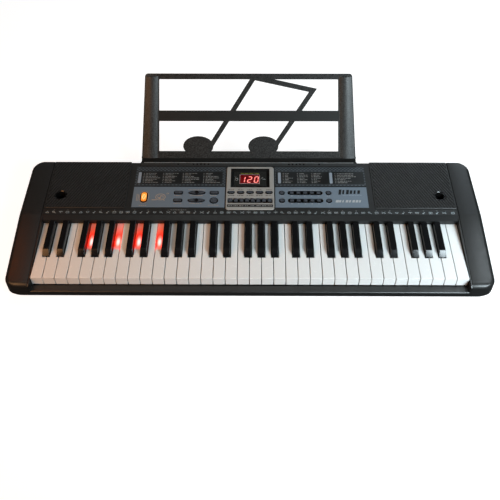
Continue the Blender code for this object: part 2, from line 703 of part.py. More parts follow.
def main():
    for obj in list(bpy.data.objects):
        bpy.data.objects.remove(obj)
    case_black = plastic("case_black", (0.020, 0.020, 0.019), 0.45)
    stand_grey = plastic("stand_grey", (0.045, 0.048, 0.050), 0.6)
    grille_black = plastic("grille_black", (0.018, 0.018, 0.018), 0.55)
    key_white = plastic("key_white", (0.82, 0.82, 0.80), 0.25)
    key_black = plastic("key_black", (0.012, 0.012, 0.013), 0.22)
    bezel_silver = plastic("bezel_silver", (0.35, 0.34, 0.32), 0.35, 0.6)
    button_slate = plastic("button_slate", (0.03, 0.033, 0.04), 0.4)
    power_amber = plastic("power_amber", (0.9, 0.35, 0.05), 0.3)
    lens_black = plastic("lens_black", (0.008, 0.006, 0.006), 0.08)
    board_green = plastic("board_green", (0.03, 0.16, 0.07), 0.5)
    cone_black = plastic("cone_black", (0.03, 0.03, 0.03), 0.8)

    make_upper_case(case_black)
    make_lower_case(case_black)
    make_battery_door(case_black)
    make_power_inlet(case_black)
    for side, word in ((-1, "left"), (1, "right")):
        make_end_cheek(f"{word}_end_cheek", side, case_black)
        make_grille(f"{word}_speaker_grille", side, grille_black)
        make_speaker(f"{word}_speaker", side, cone_black)
    make_boards(board_green)
    make_display_bezel(bezel_silver)
    make_digit_display(lens_black)
    make_button_group("left_panel_buttons", "left", (-142, -54, 176, 209), BUTTON_TOP, button_slate)
    make_button_group("right_panel_buttons", "right", (51, 150, 176, 209), BUTTON_TOP, button_slate)
    make_button_group("centre_buttons", "centre", (-43, 43, 175, 209), CENTRE_BUTTON_TOP, button_slate)
    flange = (POWER[0] - 8, POWER[0] + 8, POWER[1] - 15, POWER[1] + 15)
    make_button_group("power_button", "power", flange, BUTTON_TOP, power_amber)
    make_white_keys(key_white)
    make_black_keys(key_black)
    make_music_stand(stand_grey)


main()
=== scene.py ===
"""Looks of the toy electronic keyboard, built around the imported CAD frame.

Lengths are in millimetres until a mesh is made. X runs along the keyboard, Y from the player to the back
and Z up from the table; depth(d) is the Y of a point d behind the front face of the case.
"""

import math
import random

import bmesh
import bpy
from mathutils import Matrix, Vector


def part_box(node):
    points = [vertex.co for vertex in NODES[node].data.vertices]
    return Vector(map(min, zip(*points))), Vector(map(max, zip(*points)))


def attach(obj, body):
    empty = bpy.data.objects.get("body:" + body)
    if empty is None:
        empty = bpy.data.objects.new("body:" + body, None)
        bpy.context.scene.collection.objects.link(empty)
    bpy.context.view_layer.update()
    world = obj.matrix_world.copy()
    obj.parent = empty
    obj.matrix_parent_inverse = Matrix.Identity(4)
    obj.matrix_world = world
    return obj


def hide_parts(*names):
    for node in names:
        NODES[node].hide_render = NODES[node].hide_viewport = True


MM = 0.001
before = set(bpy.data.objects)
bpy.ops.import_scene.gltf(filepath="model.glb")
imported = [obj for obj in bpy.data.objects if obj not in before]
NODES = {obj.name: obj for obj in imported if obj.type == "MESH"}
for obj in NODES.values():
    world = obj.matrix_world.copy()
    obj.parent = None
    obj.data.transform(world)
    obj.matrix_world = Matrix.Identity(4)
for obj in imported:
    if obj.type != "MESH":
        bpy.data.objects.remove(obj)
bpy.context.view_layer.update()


def node_box(name):
    low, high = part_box(name)
    return low / MM, high / MM


CASE_LOW, CASE_HIGH = node_box("upper_case")
FRONT = CASE_LOW.y
PANEL = CASE_HIGH.z
PITCH = 20.5
WHITE_COUNT = 36
OCTAVES = 5
LIT_KEYS = {5: 0.20, 7: 0.47, 9: 0.24, 11: 0.0}  # key and where its tail begins, as a part of the pitch

# Control panel: x and distance behind the front face
ROW_BACK, ROW_FRONT = 202.0, 182.3
BUTTON_GAP = 1.3
POWER = (-192.9, 190.2, 11.0, 24.6)  # x, y, width, length
RECTANGLES = ((-131.0, ROW_BACK), (-131.0, ROW_FRONT), (-65.5, ROW_BACK))
RECTANGLE_SIZE = (14.4, 7.0)
ROCKERS = ((-97.3, ROW_BACK), (-97.3, ROW_FRONT))
ROCKER_SIZE = (29.6, 8.2)
SELECT = (-65.5, ROW_FRONT, 6.7)  # x, y, radius
ROUNDS = ((58.0, ROW_BACK), (58.0, ROW_FRONT), (143.3, ROW_BACK), (143.3, ROW_FRONT))
ROUND_R = 4.3
BARS = ((100.6, ROW_BACK), (100.6, ROW_FRONT))
BAR_SIZE = (61.4, 7.8)
BAR_PITCH = 12.2
LABEL_X = {"left": (-213.5, -46.0), "right": (46.0, 213.5)}
LABEL_Y = (165.2, 270.0)
DIVIDER = (216.9, 219.7)
OVAL_PITCH, OVAL_ROW = 17.3, 201.8
PAD_PITCH = 10.2
FILM_FOOT, LABEL_TOP = PANEL + 0.02, PANEL + 0.2  # printed films start just clear of the panel
TABLE_BOXES = {"left": (-209.5, -51.5, 224.4, 257.6), "right": (48.0, 211.5, 224.4, 257.6)}
TABLE_THICK = 0.05

# Case and stand
FASCIA_TOP = 147.9  # where the slope over the keys meets the panel
FASCIA_REACH, FASCIA_DROP = 18.0, 14.0  # it runs no further than this forwards and down
FEET = [(x, y) for x in (-340, 340) for y in (42, 245)]
STAND_FOOT_Z, LEDGE_FRONT = 69.0, 272.5
LIP_Z, LIP_SLOT_Z = (62.5, 69.8), (65.4, 69.0)
RAIL_Z = (133.2, 150.6)


def depth(distance):
    return FRONT + distance


# ---------------------------------------------------------------- materials

def node(tree, kind, inputs=None, **settings):
    made = tree.nodes.new(kind)
    for name, value in settings.items():
        setattr(made, name, value)
    for name, value in (inputs or {}).items():
        socket = made.inputs[name]
        if isinstance(value, bpy.types.NodeSocket):
            tree.links.new(value, socket)
        else:
            socket.default_value = value
    return made


def place_of(tree):
    return node(tree, "ShaderNodeTexCoord").outputs["Object"]


def noise(tree, size_mm, detail=3.0, roughness=0.55):
    """Noise whose features are about size_mm across."""
    return node(tree, "ShaderNodeTexNoise", {
        "Vector": place_of(tree), "Scale": 1 / (size_mm * MM), "Detail": detail, "Roughness": roughness,
    }).outputs["Fac"]


def between(tree, factor, low, high, start=0.3, stop=0.7):
    """Map a 0 to 1 factor between two numbers."""
    return node(tree, "ShaderNodeMapRange", {
        "Value": factor, "From Min": start, "From Max": stop, "To Min": low, "To Max": high,
    }).outputs["Result"]


def mixed(tree, factor, first, second, blend="MIX"):
    made = node(tree, "ShaderNodeMix", data_type="RGBA", blend_type=blend)
    for socket, value in ((made.inputs[0], factor), (made.inputs[6], first), (made.inputs[7], second)):
        if isinstance(value, bpy.types.NodeSocket):
            tree.links.new(value, socket)
        else:
            socket.default_value = value
    return made.outputs[2]


def shade(colour, amount):
    return (*(min(1.0, part * amount) for part in colour), 1.0)


def moulded(name, colour, roughness, grain=0.35, bump=0.25, mottle=0.18, speckle=0.0, smear=0.06,
            metallic=0.0, specular=0.5):
    """Moulded plastic: fine grain in the surface, slow drift in colour and in gloss."""
    material = bpy.data.materials.new(name)
    material.use_nodes = True
    tree = material.node_tree
    shader = tree.nodes["Principled BSDF"]
    drift = noise(tree, 38.0, 4.0)
    tone = mixed(tree, drift, shade(colour, 1 - mottle), shade(colour, 1 + mottle))
    height = noise(tree, grain, 2.0)
    if speckle:
        points = between(tree, height, 1 - speckle, 1 + speckle, 0.35, 0.65)
        tone = mixed(tree, 1.0, tone, node(tree, "ShaderNodeCombineColor", {
            "Red": points, "Green": points, "Blue": points,
        }).outputs["Color"], "MULTIPLY")
    tree.links.new(tone, shader.inputs["Base Color"])
    gloss = between(tree, noise(tree, 9.0, 5.0, 0.65), roughness - smear, roughness + smear)
    tree.links.new(gloss, shader.inputs["Roughness"])
    lift = node(tree, "ShaderNodeBump", {"Strength": bump, "Distance": 0.05 * MM, "Height": height})
    tree.links.new(lift.outputs["Normal"], shader.inputs["Normal"])
    shader.inputs["Metallic"].default_value = metallic
    shader.inputs["Specular IOR Level"].default_value = specular
    return material


def glowing(name, colour, core, strength):
    """Lit plastic or LED: brighter where the lamp behind it is, with a slight unevenness."""
    material = moulded(name, colour, 0.3, grain=0.8, bump=0.05)
    tree = material.node_tree
    shader = tree.nodes["Principled BSDF"]
    patch = mixed(tree, noise(tree, 5.0, 2.0), shade(colour, 1.0), shade(core, 1.0))
    tree.links.new(patch, shader.inputs["Emission Color"])
    shader.inputs["Emission Strength"].default_value = strength
    return material


def maths(tree, operation, first, second=0.0):
    return node(tree, "ShaderNodeMath", {0: first, 1: second}, operation=operation).outputs[0]


def ramp(tree, factor, stops):
    made = node(tree, "ShaderNodeValToRGB", {"Fac": factor})
    elements = made.color_ramp.elements
    elements[0].position, elements[1].position = stops[0][0], stops[-1][0]
    elements[0].color, elements[1].color = (*stops[0][1], 1), (*stops[-1][1], 1)
    for position, colour in stops[1:-1]:
        elements.new(position).color = (*colour, 1)
    return made.outputs["Color"]


def key_glow(material, left):
    """Paints the light of the red LED under the tail of a key, as glow and as a red tint in the base colour:
    pale in the middle, red round it and back to the fascia.
    """
    tree = material.node_tree
    shader = tree.nodes["Principled BSDF"]
    axes = node(tree, "ShaderNodeSeparateXYZ", {"Vector": place_of(tree)}).outputs
    across = maths(tree, "FRACT", maths(tree, "MULTIPLY", axes["X"], 1 / (PITCH * MM)))
    start, full, fade, end = (depth(y) * MM for y in (76.0, 86.0, 108.0, 138.0))
    near = between(tree, axes["Y"], 0.0, 1.0, start, full)
    far = between(tree, axes["Y"], 1.0, 0.45, fade, end)
    halo = maths(tree, "MULTIPLY", near, far)
    led, reach = depth(95.0) * MM, 17.0 * MM
    away = maths(tree, "MULTIPLY", maths(tree, "SUBTRACT", axes["Y"], led), 1 / reach)
    one_over_e = 0.3679
    lamp = maths(tree, "POWER", one_over_e, maths(tree, "POWER", maths(tree, "ABSOLUTE", away), 2.0))
    rise = between(tree, across, 0.3, 1.0, left + 0.03, left + 0.24)
    fall = between(tree, across, 1.0, 0.62, left + 0.38, left + 0.52)
    core = maths(tree, "MULTIPLY", lamp, maths(tree, "MULTIPLY", rise, fall))
    plain = shader.inputs["Base Color"].links[0].from_socket
    # Painted light: the LED's red is also painted into the base colour round it.
    painted_led_tint = mixed(tree, halo, plain, shade((0.60, 0.05, 0.02), 1))
    tree.links.new(painted_led_tint, shader.inputs["Base Color"])
    light = ramp(tree, core, ((0.0, (0.42, 0.03, 0.006)), (0.35, (1.0, 0.008, 0.004)),
                              (0.7, (1.0, 0.16, 0.12)), (1.0, (1.0, 0.62, 0.58))))
    tree.links.new(mixed(tree, halo, shade((0, 0, 0), 1), light), shader.inputs["Emission Color"])
    shader.inputs["Emission Strength"].default_value = 1.6
    return material


def darker_rail(material):
    """Darkens the smoother rail that crosses the middle of the stand."""
    tree = material.node_tree
    shader = tree.nodes["Principled BSDF"]
    z = node(tree, "ShaderNodeSeparateXYZ", {"Vector": place_of(tree)}).outputs["Z"]
    above = maths(tree, "GREATER_THAN", z, RAIL_Z[0] * MM)
    below = maths(tree, "LESS_THAN", z, RAIL_Z[1] * MM)
    plain = shader.inputs["Base Color"].links[0].from_socket
    tone = mixed(tree, maths(tree, "MULTIPLY", above, below), plain, shade((0.009, 0.0095, 0.0088), 1))
    tree.links.new(tone, shader.inputs["Base Color"])


def chequered(name, dark, light, square):
    material = moulded(name, dark, 0.42, grain=0.5, bump=0.05)
    tree = material.node_tree
    shader = tree.nodes["Principled BSDF"]
    check = node(tree, "ShaderNodeTexChecker", {
        "Vector": place_of(tree), "Scale": 1 / (square * MM),
        "Color1": shade(dark, 1), "Color2": shade(light, 1),
    })
    worn = mixed(tree, noise(tree, 1.5), check.outputs["Color"], shade(dark, 1.4))
    tree.links.new(worn, shader.inputs["Base Color"])
    return material


CASE = moulded("case_black", (0.0115, 0.0115, 0.0112), 0.4, grain=0.45, bump=0.25)
# The fascia's darker copy of the case plastic is painted shade on the slope over the keys.
FASCIA_SHADE = moulded("case_fascia_painted_shade", (0.0085, 0.009, 0.0092), 0.42, grain=0.45, bump=0.2, specular=0.35)
# Near-black for the power socket and the display frame, and painted shade inside the slots of the stand's
# lip.
DARK_PLASTIC_AND_SLOT_SHADE = moulded("dark_plastic_and_slot_shade", (0.003, 0.003, 0.003), 0.6, grain=0.6, specular=0.1)
GRILLE = moulded("grille_black", (0.0155, 0.0155, 0.015), 0.42, grain=0.4, bump=0.25)
# Painted shade: the floor between the grille's ribs is darker than the grille.
GROOVE_SHADE = moulded("grille_groove_painted_shade", (0.008, 0.008, 0.0078), 0.5, grain=0.4, specular=0.35)
# Glossy black of the port collar, darkened further as painted shade down the hole.
PORT_BLACK_AND_SHADE = moulded("port_black_and_shade", (0.004, 0.004, 0.004), 0.16, grain=0.6, bump=0.05)
STAND = moulded("stand_grey", (0.0135, 0.014, 0.0135), 0.5, grain=2.0, bump=1.2, mottle=0.25, speckle=1.0,
                specular=0.3)
darker_rail(STAND)
# Lighter, glossier copy of the stand plastic for the columns: the lighter colour is a painted highlight.
STAND_COLUMN_HIGHLIGHT = moulded("stand_column_painted_highlight", (0.017, 0.018, 0.0175), 0.42, grain=2.0, bump=1.2, mottle=0.25,
                       speckle=1.0, specular=0.75)
# Painted shade for the trough of the ledge under the desk.
STAND_SHELF_SHADE = moulded("stand_shelf_painted_shade", (0.0085, 0.009, 0.0085), 0.55, grain=0.8, bump=0.4, specular=0.25)
# Painted light: the front face of the ledge's lip is lighter than the stand plastic.
STAND_LIP_PAINTED_LIGHT = moulded("stand_lip_painted_light", (0.024, 0.026, 0.026), 0.4, grain=0.8, bump=0.4)
# Painted highlight: a pale colour for edges that catch the light.
PAINTED_EDGE_HIGHLIGHT = moulded("painted_edge_highlight", (0.21, 0.225, 0.23), 0.3, grain=0.8, bump=0.1)
WHITE = dict(grain=1.6, bump=0.02, mottle=0.015, smear=0.02)
KEY_WHITE = moulded("key_white", (0.77, 0.765, 0.75), 0.26, **WHITE)
KEY_LIT = {
    number: key_glow(moulded(f"key_white_lit_{number:02d}", (0.77, 0.765, 0.75), 0.26, **WHITE), left)
    for number, left in LIT_KEYS.items()
}
KEY_BLACK = moulded("key_black", (0.0055, 0.0055, 0.006), 0.13, grain=1.2, bump=0.03, mottle=0.2, smear=0.03,
                    specular=0.35)
SILVER = moulded("bezel_silver", (0.35, 0.342, 0.322), 0.36, grain=0.5, bump=0.08, mottle=0.05, metallic=0.25)
SLATE = moulded("button_slate", (0.05, 0.057, 0.069), 0.27, grain=0.6, bump=0.12)
# Near-black painted shade for the gaps round the buttons: caps' bevels and sides, the rocker splits and the
# rings round the ovals.
BUTTON_GAP_SHADE = moulded("button_gap_shade", (0.003, 0.003, 0.0035), 0.6, grain=0.6, specular=0.1)
LABEL = moulded("label_slate", (0.128, 0.164, 0.202), 0.4, grain=0.5, bump=0.05, mottle=0.06)
CHECK = chequered("label_check", (0.012, 0.015, 0.018), (0.10, 0.12, 0.135), 3.45)
TABLE_DARK = moulded("label_table", (0.0065, 0.007, 0.0075), 0.42, grain=0.5, bump=0.05)
PRINT_LIGHT = moulded("print_light", (0.25, 0.255, 0.25), 0.55, grain=0.7, bump=0.05)
PRINT_PALE = moulded("print_pale", (0.36, 0.37, 0.37), 0.55, grain=0.7, bump=0.05)
PRINT_BLUE = moulded("print_blue", (0.24, 0.28, 0.33), 0.5, grain=0.7, bump=0.05)
PRINT_ICON = moulded("print_icon", (0.33, 0.38, 0.40), 0.5, grain=0.7, bump=0.05)
PRINT_DARK = moulded("print_dark", (0.006, 0.006, 0.007), 0.5, grain=0.7, bump=0.05, specular=0.3)
PRINT_COPPER = moulded("print_copper", (0.42, 0.31, 0.22), 0.5, grain=0.7, bump=0.05)
PRINT_LIME = moulded("print_lime", (0.12, 0.125, 0.012), 0.5, grain=0.7, bump=0.05)
LENS = moulded("display_lens", (0.0155, 0.0165, 0.0155), 0.14, grain=2.0, bump=0.01, smear=0.02)
DIGIT = glowing("digit_red", (1.0, 0.10, 0.08), (1.0, 0.55, 0.50), 1.05)
DIGIT_OFF = glowing("digit_off", (0.10, 0.0, 0.0), (0.13, 0.0, 0.0), 0.5)
DIGIT_FIELD = glowing("digit_field", (0.04, 0.0, 0.001), (0.085, 0.0, 0.002), 1.0)
DIGIT_RIM = moulded("digit_rim", (0.42, 0.30, 0.30), 0.4, grain=0.5)
RUBBER = moulded("rubber", (0.02, 0.02, 0.02), 0.75, grain=0.8, bump=0.6)
STEEL = moulded("steel", (0.4, 0.4, 0.4), 0.3, grain=0.4, metallic=1.0)
GREEN = moulded("circuit_board", (0.03, 0.16, 0.07), 0.5)
CONE = moulded("speaker_cone", (0.008, 0.008, 0.008), 0.8, grain=0.9, bump=0.5, specular=0.1)
AMBER_MARK = glowing("power_mark", (1.0, 0.62, 0.24), (1.0, 0.75, 0.4), 0.95)


def amber_plastic():
    """Lamp behind amber plastic: palest in the middle, deep orange towards the player's end."""
    material = moulded("power_amber", (0.55, 0.2, 0.03), 0.3, grain=0.8, bump=0.05)
    tree = material.node_tree
    shader = tree.nodes["Principled BSDF"]
    along = node(tree, "ShaderNodeSeparateXYZ", {"Vector": place_of(tree)}).outputs["Y"]
    y, length = POWER[1], POWER[3]
    part = between(tree, along, 0.0, 1.0, depth(y - length / 2) * MM, depth(y + length / 2) * MM)
    light = ramp(tree, part, ((0.0, (0.30, 0.05, 0.0)), (0.2, (0.85, 0.2, 0.01)), (0.5, (1.0, 0.40, 0.09)),
                              (0.8, (1.0, 0.36, 0.05)), (1.0, (0.5, 0.1, 0.01))))
    tree.links.new(light, shader.inputs["Emission Color"])
    shader.inputs["Emission Strength"].default_value = 0.75
    return material


# ---------------------------------------------------------------- shapes

def rounded(x0, x1, y0, y1, radius, steps=6):
    outline = []
    for x, y, start in ((x1, y0, -90), (x1, y1, 0), (x0, y1, 90), (x0, y0, 180)):
        cx = x - math.copysign(radius, x - (x0 + x1) / 2)
        cy = y - math.copysign(radius, y - (y0 + y1) / 2)
        for i in range(steps + 1):
            angle = math.radians(start + 90 * i / steps)
            outline.append((cx + radius * math.cos(angle), cy + radius * math.sin(angle)))
    return outline


def centred(x, y, width, length, radius, steps=6):
    return rounded(x - width / 2, x + width / 2, y - length / 2, y + length / 2, radius, steps)


def stadium(x, y, width, length, steps=8):
    return centred(x, y, width, length, min(width, length) / 2 - 0.02, steps)


def ellipse(x, y, a, b, steps=28):
    turns = (2 * math.pi * i / steps for i in range(steps))
    return [(x + a * math.cos(t), y + b * math.sin(t)) for t in turns]


def rectangle(x0, x1, y0, y1):
    return [(x0, y0), (x1, y0), (x1, y1), (x0, y1)]


def slanted(x0, x1, y0, y1, lean):
    return [(x0, y0), (x1, y0), (x1 + lean, y1), (x0 + lean, y1)]


def stroke(start, end, width):
    """Straight band from start to end."""
    a, b = Vector(start), Vector(end)
    along = (b - a).normalized()
    across = Vector((-along.y, along.x)) * (width / 2)
    return [tuple(p) for p in (a - across, b - across, b + across, a + across)]


def add_rings(bm, *rings):
    """Adds a closed solid through rings of equal length, capped at both ends."""
    loops = [[bm.verts.new(Vector(point) * MM) for point in ring] for ring in rings]
    count = len(loops[0])
    for lower, upper in zip(loops, loops[1:]):
        for i in range(count):
            j = (i + 1) % count
            bm.faces.new((lower[i], lower[j], upper[j], upper[i]))
    bm.faces.new(loops[0])
    bm.faces.new(loops[-1])


def turn_ring(bm, centre, profile, steps=40):
    """Closed ring of revolution about a vertical axis."""
    loops = []
    for radius, z in profile:
        circle = ellipse(*centre, radius, radius, steps)
        loops.append([bm.verts.new(Vector((x, y, z)) * MM) for x, y in circle])
    for lower, upper in zip(loops, loops[1:] + loops[:1]):
        for i in range(steps):
            j = (i + 1) % steps
            bm.faces.new((lower[i], lower[j], upper[j], upper[i]))


def at(outline, z):
    return [(x, y, z) for x, y in outline]


def shrink(outline, distance):
    """Counter-clockwise outline moved inwards by distance."""
    moved = []
    for i, corner in enumerate(outline):
        before, here, after = Vector(outline[i - 1]), Vector(corner), Vector(outline[(i + 1) % len(outline)])
        a, b = (here - before).normalized(), (after - here).normalized()
        normal_a, normal_b = Vector((-a.y, a.x)), Vector((-b.y, b.x))
        moved.append(tuple(here + (normal_a + normal_b) * (distance / (1 + normal_a.dot(normal_b)))))
    return moved


def arc_band(x, y, a, b, width, start=0.0, stop=360.0, steps=24):
    """Band along an elliptic arc, in two pieces so that a full ring is closed without a hole."""
    pieces = []
    half = (start + stop) / 2
    for low, high in ((start, half), (half, stop)):
        turns = [math.radians(low + (high - low) * i / (steps // 2)) for i in range(steps // 2 + 1)]
        outer = [(x + (a + width / 2) * math.cos(t), y + (b + width / 2) * math.sin(t)) for t in turns]
        inner = [(x + (a - width / 2) * math.cos(t), y + (b - width / 2) * math.sin(t)) for t in turns]
        pieces.append(outer + inner[::-1])
    return pieces


def finish_mesh(name, bm, material, body, angle=35.0):
    bmesh.ops.recalc_face_normals(bm, faces=bm.faces)
    mesh = bpy.data.meshes.new(name)
    bm.to_mesh(mesh)
    bm.free()
    mesh.materials.append(material)
    mesh.shade_smooth()
    mesh.set_sharp_from_angle(angle=math.radians(angle))
    obj = bpy.data.objects.new(name, mesh)
    bpy.context.scene.collection.objects.link(obj)
    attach(obj, body)
    return obj


def prints(name, outlines, material, z, thick=0.06, body="root"):
    """Printed marks: thin flat shapes lying on the surface at height z."""
    bm = bmesh.new()
    for outline in outlines:
        add_rings(bm, at(outline, z), at(outline, z + thick))
    return finish_mesh(name, bm, material, body)


def drill(obj, outlines, low, high):
    """Cuts straight holes through a piece."""
    bm = bmesh.new()
    for outline in outlines:
        add_rings(bm, at(outline, low), at(outline, high))
    bmesh.ops.recalc_face_normals(bm, faces=bm.faces)
    mesh = bpy.data.meshes.new("drill")
    bm.to_mesh(mesh)
    bm.free()
    tool = bpy.data.objects.new("drill", mesh)
    bpy.context.scene.collection.objects.link(tool)
    modifier = obj.modifiers.new("holes", "BOOLEAN")
    modifier.operation = "DIFFERENCE"
    modifier.object = tool
    graph = bpy.context.evaluated_depsgraph_get()
    result = bpy.data.meshes.new_from_object(obj.evaluated_get(graph))
    obj.modifiers.clear()
    obj.data = result
    obj.data.shade_smooth()
    obj.data.set_sharp_from_angle(angle=math.radians(35))
    bpy.data.objects.remove(tool)


def flatten_shading(obj):
    """Weights the normals by face area, so that only the rounded edges look curved."""
    modifier = obj.modifiers.new("weights", "WEIGHTED_NORMAL")
    modifier.keep_sharp = True
    graph = bpy.context.evaluated_depsgraph_get()
    result = bpy.data.meshes.new_from_object(obj.evaluated_get(graph))
    obj.modifiers.clear()
    obj.data = result


def soft_copy(name, node_name, offset, material, body=None, segments=3, angle=30.0):
    """Stands for a CAD node: the same solid with its coplanar faces joined and its sharp edges rounded."""
    bm = bmesh.new()
    bm.from_mesh(NODES[node_name].data)
    bmesh.ops.remove_doubles(bm, verts=bm.verts, dist=1e-6)
    bmesh.ops.dissolve_limit(bm, angle_limit=math.radians(0.5), verts=bm.verts, edges=bm.edges)
    sharp = [e for e in bm.edges if e.is_manifold and e.calc_face_angle(0) > math.radians(angle)]
    bmesh.ops.bevel(
        bm, geom=sharp, offset=offset * MM, segments=segments, profile=0.5, affect="EDGES",
        clamp_overlap=True,
    )
    piece = finish_mesh(name, bm, material, body or node_name, angle=40.0)
    flatten_shading(piece)
    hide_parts(node_name)
    return piece


def repaint(piece, material, chosen):
    """Gives the faces whose centre is chosen their own material."""
    piece.data.materials.append(material)
    index = len(piece.data.materials) - 1
    for face in piece.data.polygons:
        if chosen(face.center / MM):
            face.material_index = index


# ---------------------------------------------------------------- case

def end_cheek(side, word):
    """End cheek swept from front to back, with round corners and a round outer edge."""
    low, high = node_box(f"{word}_end_cheek")
    outer, inner = (low.x, high.x) if side < 0 else (high.x, low.x)
    half, inner = abs(outer), abs(inner)
    corner, curl, back_curl, fascia = 20.0, 8.0, 2.5, FASCIA_TOP
    front_z = 46.5
    length = high.y - low.y

    def top(d):
        return high.z if d >= fascia else front_z + (high.z - front_z) * d / fascia

    arc = [1 - math.cos(math.radians(a)) for a in range(0, 91, 6)]
    stations = [corner * a for a in arc] + [fascia + step for step in (-8, -2.5, 0, 2.5, 8)]
    stations += [length - corner * a for a in reversed(arc)]
    stations += [length - back_curl * a for a in (0.8, 0.55, 0.1)]
    stations = sorted(set(round(d, 3) for d in stations))
    rings = []
    for d in stations:
        end = min(d, length - d)
        near = max(0.0, corner - end)
        edge = half - corner + math.sqrt(max(0.0, corner**2 - near**2))
        crest = top(d)
        for fillet, distance in ((curl, d), (back_curl, length - d)):
            dip = max(0.0, fillet - distance)
            crest -= fillet - math.sqrt(max(0.0, fillet**2 - dip**2))
        ring = [(inner, low.z), (inner, crest - 0.8), (inner + 0.25, crest - 0.2), (inner + 0.9, crest)]
        ring += [
            (edge - curl + curl * math.cos(math.radians(a)), crest - curl + curl * math.sin(math.radians(a)))
            for a in range(90, -1, -9)
        ]
        ring.append((edge, low.z))
        rings.append([(side * x, low.y + d, z) for x, z in ring])
    bm = bmesh.new()
    add_rings(bm, *rings)
    piece = finish_mesh(f"{word}_end_cheek_moulding", bm, CASE, "root", angle=50)
    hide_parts(f"{word}_end_cheek")


def build_case():
    case = soft_copy(
        "upper_case_moulding", "upper_case", 0.5, CASE, "root", segments=2, angle=20,
    )
    brow, rounding, middle_part = depth(FASCIA_TOP), 0.6, 300
    # Painted highlight along the top edge of the fascia.
    repaint(case, PAINTED_EDGE_HIGHLIGHT, lambda centre: (
        abs(centre.y - brow) < rounding and centre.z > PANEL - rounding and abs(centre.x) < middle_part))
    # Painted shade: the slope over the keys takes the darker copy of the case plastic.
    repaint(case, FASCIA_SHADE, lambda centre: (
        brow - FASCIA_REACH < centre.y < brow - rounding
        and PANEL - FASCIA_DROP < centre.z < PANEL - rounding))
    soft_copy("lower_case_moulding", "lower_case", 0.6, CASE, "root", segments=2)
    soft_copy("battery_cover", "battery_door", 0.25, CASE, "root", segments=2)
    soft_copy("power_socket", "power_inlet", 0.2, DARK_PLASTIC_AND_SLOT_SHADE, "root", segments=2)
    for side, word in ((-1, "left"), (1, "right")):
        end_cheek(side, word)
    for name, material in (("main_circuit_board", GREEN), ("key_contact_board", GREEN),
                           ("left_speaker", CONE), ("right_speaker", CONE)):
        NODES[name].data.materials.clear()
        NODES[name].data.materials.append(material)


def build_underside():
    floor = node_box("lower_case")[0].z
    bm = bmesh.new()
    foot_radius = 10.2
    for x, y in FEET:
        disc = ellipse(x, depth(y), foot_radius, foot_radius)
        add_rings(bm, at(shrink(disc, 0.4), floor + 0.02), at(disc, floor + 0.5), at(disc, floor + 2.9))
    finish_mesh("foot_pads", bm, RUBBER, "root")
    bm = bmesh.new()
    heads = [(x, y) for x in (-300, -180, -60, 60, 210, 300) for y in (60, 150)]
    heads += [(x, 265) for x in (-300, -150, 0, 220, 320)]
    profile = ((3.3, 2.98), (3.3, 2.4), (2.7, 1.8), (1.2, 1.7), (1.0, 2.5))  # radius, height: a socket head
    for x, y in heads:
        add_rings(bm, *(at(ellipse(x, depth(y), r, r, 20), floor + z) for r, z in profile))
    finish_mesh("case_screws", bm, STEEL, "root")


# ---------------------------------------------------------------- speaker grilles

PORT = (345.0, 194.0, 9.0)  # x, distance from the front, radius
RIB_PITCH = 4.7
RIB_ANGLE = 64.0  # degrees from the X axis; the right grille is the mirror image
RIB_HEIGHT = 0.7
RIB_WIDTHS = (3.0, 2.7, 2.0)  # at the foot, the shoulder and the top


def clipped(origin, direction, box, hole):
    """Stretches of a line inside a rectangle and outside a circle."""
    low, high = -1e9, 1e9
    for o, d, (a, b) in zip(origin, direction, box):
        near, far = sorted(((a - o) / d, (b - o) / d))
        low, high = max(low, near), min(high, far)
    shortest = 2.0
    if high - low < shortest:
        return []
    offset = Vector(origin) - Vector(hole[:2])
    along = offset.dot(direction)
    inside = along**2 - (offset.length_squared - hole[2] ** 2)
    if inside <= 0:
        return [(low, high)]
    first, second = -along - math.sqrt(inside), -along + math.sqrt(inside)
    stretches = ((low, min(high, first)), (max(low, second), high))
    return [(a, b) for a, b in stretches if b - a > shortest]


